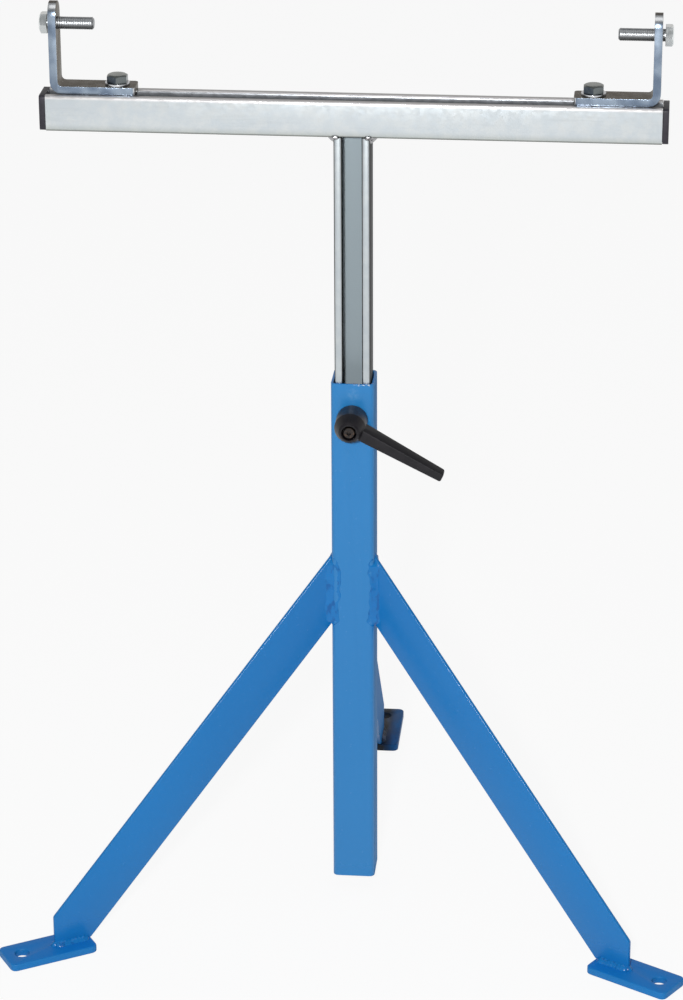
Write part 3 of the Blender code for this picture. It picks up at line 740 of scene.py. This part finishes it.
def ring(radius, height):
    """A circle as a ring of points."""
    turns = [2 * math.pi * side / BOLT_SIDES for side in range(BOLT_SIDES)]
    return [Vector((radius * math.cos(turn), radius * math.sin(turn), height)) for turn in turns]


def hex_ring(flats, height, crown=None):
    """A hexagon as a ring of points. With a crown radius its corners fall away on a 30 degree cone."""
    points = []
    for side in range(BOLT_SIDES):
        turn = 2 * math.pi * side / BOLT_SIDES
        off = (turn + HEX_TURN / 2) % HEX_TURN - HEX_TURN / 2
        radius = flats / 2 / math.cos(off)
        drop = max(0.0, radius - crown) * CROWN_SLOPE if crown else 0.0
        points.append(Vector((radius * math.cos(turn), radius * math.sin(turn), height - drop)))
    return points


def thread_ring(height, start, end):
    """One ring of a right-hand thread, running out at both ends."""
    points = []
    fade = max(0.0, min(1.0, (height - start) / THREAD_PITCH, (end - height) / THREAD_PITCH))
    for side in range(BOLT_SIDES):
        turn = side / BOLT_SIDES
        groove = 0.5 - 0.5 * math.cos(2 * math.pi * (height / THREAD_PITCH - turn))
        radius = BOLT_SIZE / 2 - THREAD_DEPTH * fade * groove
        angle = 2 * math.pi * turn
        points.append(Vector((radius * math.cos(angle), radius * math.sin(angle), height)))
    return points


def bolt_bmesh(length, threaded):
    """A hex bolt along Z: shank below zero, head above."""
    start = TIP_CHAMFER - length
    loops = [ring(BOLT_SIZE / 2 - TIP_CHAMFER, -length), ring(BOLT_SIZE / 2, start)]
    if threaded:
        rows = round(-start / THREAD_PITCH * THREAD_STEPS)
        loops += [thread_ring(start * (1 - row / rows), start, 0.0) for row in range(1, rows)]
    loops += [ring(BOLT_SIZE / 2, 0.0), hex_ring(BOLT_FLATS - 2 * HEAD_EDGE, 0.0)]
    loops += [hex_ring(BOLT_FLATS, HEAD_EDGE), hex_ring(BOLT_FLATS, BOLT_HEAD - HEAD_EDGE, BOLT_CROWN)]
    loops += [ring(BOLT_CROWN - HEAD_EDGE, BOLT_HEAD), ring(BOLT_CROWN * CROWN_TOP, BOLT_HEAD + HEAD_DOME)]
    return loft(loops)


def add_bolt(node, axis, threaded):
    """Stand in for a CAD bolt, given the direction from its tip to its head."""
    low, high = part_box(node)
    middle = (low + high) / 2
    reach = abs((high - low).dot(axis))
    head = BOLT_HEAD + HEAD_DOME
    bm = bolt_bmesh(reach - head, threaded)
    seat = middle + axis * (reach / 2 - head)
    turn = UP.rotation_difference(axis).to_matrix().to_4x4()
    bmesh.ops.transform(bm, matrix=Matrix.Translation(seat) @ turn, verts=bm.verts)
    piece = add_piece(f"{node}_fine", bm, BODY_OF[node], look_of(node))
    piece.data.materials.append(THREAD_STEEL)
    for face in piece.data.polygons:
        face.material_index = 1 if (face.center - seat).dot(axis) < -HEAD_EDGE else 0
    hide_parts(node)


def wander(seed):
    """A smooth wandering function of the distance along a weld, between -1 and 1."""
    draw = random.Random(seed)
    waves = [(share, draw.uniform(slow, fast), draw.uniform(0.0, 2 * math.pi)) for share, slow, fast in WANDER]
    return lambda travel: sum(share * math.sin(travel / RIPPLE * pace + phase) for share, pace, phase in waves)


def ripple(travel):
    """Height of a weld's overlapping ripples: a row of shallow domes, between one half and one."""
    phase = 2.0 * (travel / RIPPLE % 1.0) - 1.0
    return math.sqrt(1.0 - RIPPLE_DIP * phase * phase)


def add_bead(name, path, wide, tall, lift, body, seed, material):
    """A weld bead along a straight run: a row of uneven ripples with rounded ends."""
    first, last = (Vector(point) for point in path)
    total = (last - first).length
    along = (last - first).normalized()
    lift = (Vector(lift) - along * along.dot(Vector(lift))).normalized()
    side = along.cross(lift)
    sway, swell = wander(seed), wander(seed + SEED_APART)
    rows = max(BEAD_ROWS, round(total / BEAD_STEP))
    loops = []
    for row in range(rows + 1):
        travel = total * row / rows
        end = min(1.0, min(travel, total - travel) / (wide / 2) + BEAD_BLUNT)
        taper = math.sqrt(1.0 - (1.0 - end) ** 2)
        rippled = 1.0 - BEAD_RIPPLED + BEAD_RIPPLED * ripple(travel)
        size = taper * rippled * (1.0 + BEAD_SWELL * swell(travel))
        centre = first + along * travel + side * (wide * BEAD_SWAY * sway(travel))
        loop = []
        for step in range(BEAD_SIDES):
            turn = 2 * math.pi * step / BEAD_SIDES
            aside, above = math.cos(turn) * wide / 2 * size, math.sin(turn) * tall * size
            loop.append(centre + side * aside + lift * above)
        loops.append(loop)
    add_piece(name, loft(loops), body, material)


def add_fillet(name, reach, low, high, join, corner, leg_run, leg_face, column_run, column_face, seed):
    """A vertical weld from a leg's face to the column's, wandering as one laid by hand.

    The weld starts on the leg, beside the join, and ends on the column, beside the corner it turns round.
    """
    leg_edge, column_edge, swell = (wander(seed + SEED_APART * index) for index in range(3))
    turns_corner = (corner - join).length > FILLET_ROOT
    if turns_corner:
        bulge, root = CORNER_BULGE, CORNER_ROOT
        out = (column_face - column_run).normalized()
    else:
        bulge, root = VALLEY_BULGE, VALLEY_ROOT
        out = (leg_face + column_face).normalized()
    total = high - low
    rows = round(total / BEAD_STEP)
    loops = []
    for row in range(rows + 1):
        travel = total * row / rows
        rise = UP * (low + travel)
        grow = math.sqrt(min(1.0, min(travel, total - travel) / FILLET_END + FILLET_BLUNT))
        on_leg = (LEG_REACH + REACH_SWAY * leg_edge(travel)) * grow
        on_leg = max(FILLET_SINK, min(on_leg, (total - travel) / LEG_SLOPE - FILLET_ROOT))
        on_column = (reach + REACH_SWAY * column_edge(travel)) * grow
        rippled = 1.0 - FILLET_RIPPLED + FILLET_RIPPLED * ripple(travel)
        push = bulge * grow * rippled * (1.0 + FILLET_SWELL * swell(travel))
        start = join + leg_run * on_leg - leg_face * FILLET_SINK
        stop = corner + column_run * on_column - column_face * FILLET_SINK
        flow = join + leg_run * (on_leg * FLOW_ALONG) + out * (push * FLOW_OUT)
        brow = stop + column_face * (push * BROW_OUT)
        loop = []
        for step in range(FILLET_STEPS + 1):
            t = step / FILLET_STEPS
            r = 1.0 - t
            bend = start * r ** 3 + flow * 3 * r * r * t + brow * 3 * r * t * t + stop * t ** 3
            loop.append(bend + rise)
        loop += [stop - column_face * FILLET_ROOT + rise, corner - out * root + rise]
        loop.append(start - leg_face * FILLET_ROOT + rise)
        loops.append(loop)
    add_piece(name, loft(loops), "base", BEAD_PAINT)


def leg_faces(way):
    """The two faces of a leg: a label, a sign and the level direction out of the face."""
    across = Vector((-way.y, way.x, 0.0))
    return (("a", -1.0, across * -1.0), ("b", 1.0, across))


def weld_leg_to_column(name, way, seed):
    """Two welds, one on each face of a leg, up the line where it meets the column."""
    rear = name == "rear"
    column_face = BACK if rear else Vector((math.copysign(1.0, way.x), 0.0, 0.0))
    for label, side, leg_face in leg_faces(way):
        face_point = AXIS + leg_face * LEG_HALF
        reach = (COLUMN_HALF - (face_point - AXIS).dot(column_face)) / way.dot(column_face)
        join = face_point + way * reach
        low = SOLE + (LEG_HEEL - reach) * LEG_SLOPE
        looks_ahead = leg_face.y < -0.5
        if looks_ahead:
            corner = AXIS + (column_face - BACK) * COLUMN_HALF
            run, face = -column_face, -BACK
        else:
            corner = join
            run, face = leg_face if rear else BACK, column_face
        add_fillet(f"weld_{name}_{label}", COLUMN_REACH[name], low, low + LEG_DROP, join, corner,
                   way, leg_face, run, face, seed + side)


def weld_leg_to_foot(name, way, seed):
    """Beads along both faces of a leg on its foot, and one across its toe."""
    seat = AXIS + UP * SOLE
    heel, toe = seat + way * (LEG_HEEL + HEEL_GAP), seat + way * LEG_TOE
    # The rear foot's beads take its painted shade and painted shadow
    paint = SHADED_FOOT_PAINT if name == "rear" else BEAD_PAINT
    for label, side, face in leg_faces(way):
        path = [heel + face * LEG_HALF, toe + face * LEG_HALF]
        add_bead(f"weld_foot_{name}_{label}", path, FOOT_BEAD, FOOT_BEAD_TALL, face + UP,
                 "base", seed + side, paint)
    across = Vector((-way.y, way.x, 0.0)) * (LEG_HALF + TOE_OVER)
    add_bead(f"weld_toe_{name}", [toe - across, toe + across], FOOT_BEAD, FOOT_BEAD_TALL, way + UP,
             "base", seed + TOE_SEED, paint)


def weld_all():
    """Weld the legs to the column and the feet, and the post to the rail."""
    for index, (name, way) in enumerate(LEG_WAYS.items()):
        weld_leg_to_column(name, way, COLUMN_SEED + SEED_STEP * index)
        weld_leg_to_foot(name, way, FOOT_SEED + SEED_STEP * index)
    for label, side in (("left", -1), ("right", 1)):
        x = AXIS.x + side * (post_high.x - post_low.x) / 2
        path = [(x, post_low.y + POST_BEAD_GAP, rail_low.z), (x, post_high.y - POST_BEAD_GAP, rail_low.z)]
        add_bead(f"weld_post_{label}", path, POST_BEAD, POST_BEAD_TALL, (side, 0.0, -1.0),
                 "mast", POST_SEED + side, WELD_METAL)
        outer, inner = x + side * LIP_BEAD_OVER, x - side * LIP_BEAD_LENGTH
        path = [(outer, post_low.y, rail_low.z), (inner, post_low.y, rail_low.z)]
        add_bead(f"weld_lip_{label}", path, LIP_BEAD, LIP_BEAD_TALL, (0.0, -1.0, -1.0),
                 "mast", LIP_SEED + side, WELD_METAL)


def dress_nodes():
    """Round the edges of what shows, and give every CAD node its finish."""
    soften("column_tube", TUBE_EDGE)
    for name in LEG_WAYS:
        soften(f"leg_{name}", LEG_EDGE)
        soften(f"foot_{name}", FOOT_EDGE)
    for name in ("left", "right"):
        soften(f"bracket_{name}", BRACKET_EDGE)
        soften(f"rail_cap_{name}", CAP_EDGE)
        soften(f"bracket_washer_{name}", SMALL_EDGE)
    soften("top_rail", SMALL_EDGE)
    soften("post_channel", SMALL_EDGE)
    soften("lever_handle", LEVER_EDGE, LEVER_ANGLE, LEVER_ANGLE)
    add_spring()
    add_bolt("pivot_bolt_left", Vector((-1.0, 0.0, 0.0)), True)
    add_bolt("pivot_bolt_right", Vector((1.0, 0.0, 0.0)), True)
    add_bolt("bracket_bolt_left", UP, False)
    add_bolt("bracket_bolt_right", UP, False)
    for name, node in NODES.items():
        node.data.materials.clear()
        node.data.materials.append(look_of(name))
        node.data.shade_smooth()
        node.data.set_sharp_from_angle(angle=SMOOTH_ANGLE)


def floor_material():
    """Pale and lit, so that it keeps a shadow, and mostly glowing where it is seen or mirrored."""
    material = bpy.data.materials.new("floor")
    material.use_nodes = True
    tree = material.node_tree
    tree.nodes.clear()
    out = tree.nodes.new("ShaderNodeOutputMaterial")
    diffuse = tree.nodes.new("ShaderNodeBsdfDiffuse")
    diffuse.inputs["Color"].default_value = FLOOR_COLOR
    glow = tree.nodes.new("ShaderNodeEmission")
    glow.inputs["Color"].default_value = WHITE
    ray = tree.nodes.new("ShaderNodeLightPath")
    seen = ray.outputs["Is Camera Ray"]
    for kind in ("Is Glossy Ray", "Is Transmission Ray"):
        either = tree.nodes.new("ShaderNodeMath")
        either.operation = "MAXIMUM"
        tree.links.new(seen, either.inputs[0])
        tree.links.new(ray.outputs[kind], either.inputs[1])
        seen = either.outputs[0]
    share = tree.nodes.new("ShaderNodeMath")
    share.operation = "MULTIPLY"
    share.inputs[1].default_value = FLOOR_GLOW
    tree.links.new(seen, share.inputs[0])
    mix = tree.nodes.new("ShaderNodeMixShader")
    tree.links.new(share.outputs[0], mix.inputs["Fac"])
    tree.links.new(diffuse.outputs[0], mix.inputs[1])
    tree.links.new(glow.outputs[0], mix.inputs[2])
    tree.links.new(mix.outputs[0], out.inputs["Surface"])
    return material


def add_floor():
    """A wide floor just below the soles, which belongs to the stage."""
    bm = bmesh.new()
    bmesh.ops.create_grid(bm, x_segments=1, y_segments=1, size=FLOOR_SIZE)
    mesh = bpy.data.meshes.new("floor")
    bm.to_mesh(mesh)
    bm.free()
    mesh.materials.append(floor_material())
    floor = bpy.data.objects.new("floor", mesh)
    floor.location.z = -FLOOR_DROP
    bpy.context.scene.collection.objects.link(floor)


def add_lamp(name, place, size, power):
    """A rectangular lamp at a place from the column's axis, aimed at the stand."""
    lamp = bpy.data.lights.new(name, "AREA")
    lamp.shape = "RECTANGLE"
    lamp.size, lamp.size_y = size
    lamp.energy = power
    item = bpy.data.objects.new(name, lamp)
    item.location = AXIS + Vector(place)
    item.rotation_euler = (AXIS + LAMP_TARGET - item.location).to_track_quat("-Z", "Y").to_euler()
    bpy.context.scene.collection.objects.link(item)


def light_scene():
    """Dim surroundings with a pale band low behind the stand, and lamps in front and above."""
    world = bpy.data.worlds.new("studio")
    bpy.context.scene.world = world
    world.use_nodes = True
    tree = world.node_tree
    place = tree.nodes.new("ShaderNodeTexCoord")
    split = tree.nodes.new("ShaderNodeSeparateXYZ")
    tree.links.new(place.outputs["Generated"], split.inputs[0])
    band = tree.nodes.new("ShaderNodeMath")
    band.operation = "MULTIPLY"
    for index, (axis, start, end) in enumerate((("Y", *BAND_BEHIND), ("Z", *BAND_TOP))):
        edge = tree.nodes.new("ShaderNodeMapRange")
        edge.interpolation_type = "SMOOTHSTEP"
        edge.inputs["From Min"].default_value = start
        edge.inputs["From Max"].default_value = end
        tree.links.new(split.outputs[axis], edge.inputs["Value"])
        tree.links.new(edge.outputs["Result"], band.inputs[index])
    mix = tree.nodes.new("ShaderNodeMixRGB")
    tree.links.new(band.outputs[0], mix.inputs["Fac"])
    mix.inputs["Color1"].default_value = SKY
    mix.inputs["Color2"].default_value = SKY_BAND
    tree.links.new(mix.outputs["Color"], tree.nodes["Background"].inputs["Color"])
    add_lamp("key", *KEY)
    add_lamp("fill", *FILL)
    add_lamp("top", *TOP)


def add_camera():
    """The photograph's camera, built from its yaw, pitch and roll."""
    camera = bpy.data.objects.new("camera", bpy.data.cameras.new("camera"))
    camera.data.lens = CAMERA_LENS
    camera.data.sensor_width = CAMERA_SENSOR
    flat = math.cos(CAMERA_PITCH)
    ahead = Vector((-math.sin(CAMERA_YAW) * flat, math.cos(CAMERA_YAW) * flat, math.sin(CAMERA_PITCH)))
    right = Vector((math.cos(CAMERA_YAW), math.sin(CAMERA_YAW), 0.0))
    right = Matrix.Rotation(-CAMERA_ROLL, 3, ahead) @ right
    above = right.cross(ahead)
    turn = Matrix((right, above, -ahead)).transposed()
    camera.matrix_world = Matrix.Translation(AXIS + CAMERA_FROM_AXIS) @ turn.to_4x4()
    bpy.context.scene.collection.objects.link(camera)
    bpy.context.scene.camera = camera


dress_nodes()
weld_all()
add_floor()
light_scene()
add_camera()
bpy.context.scene.view_settings.view_transform = "Standard"

bpy.context.view_layer.update()
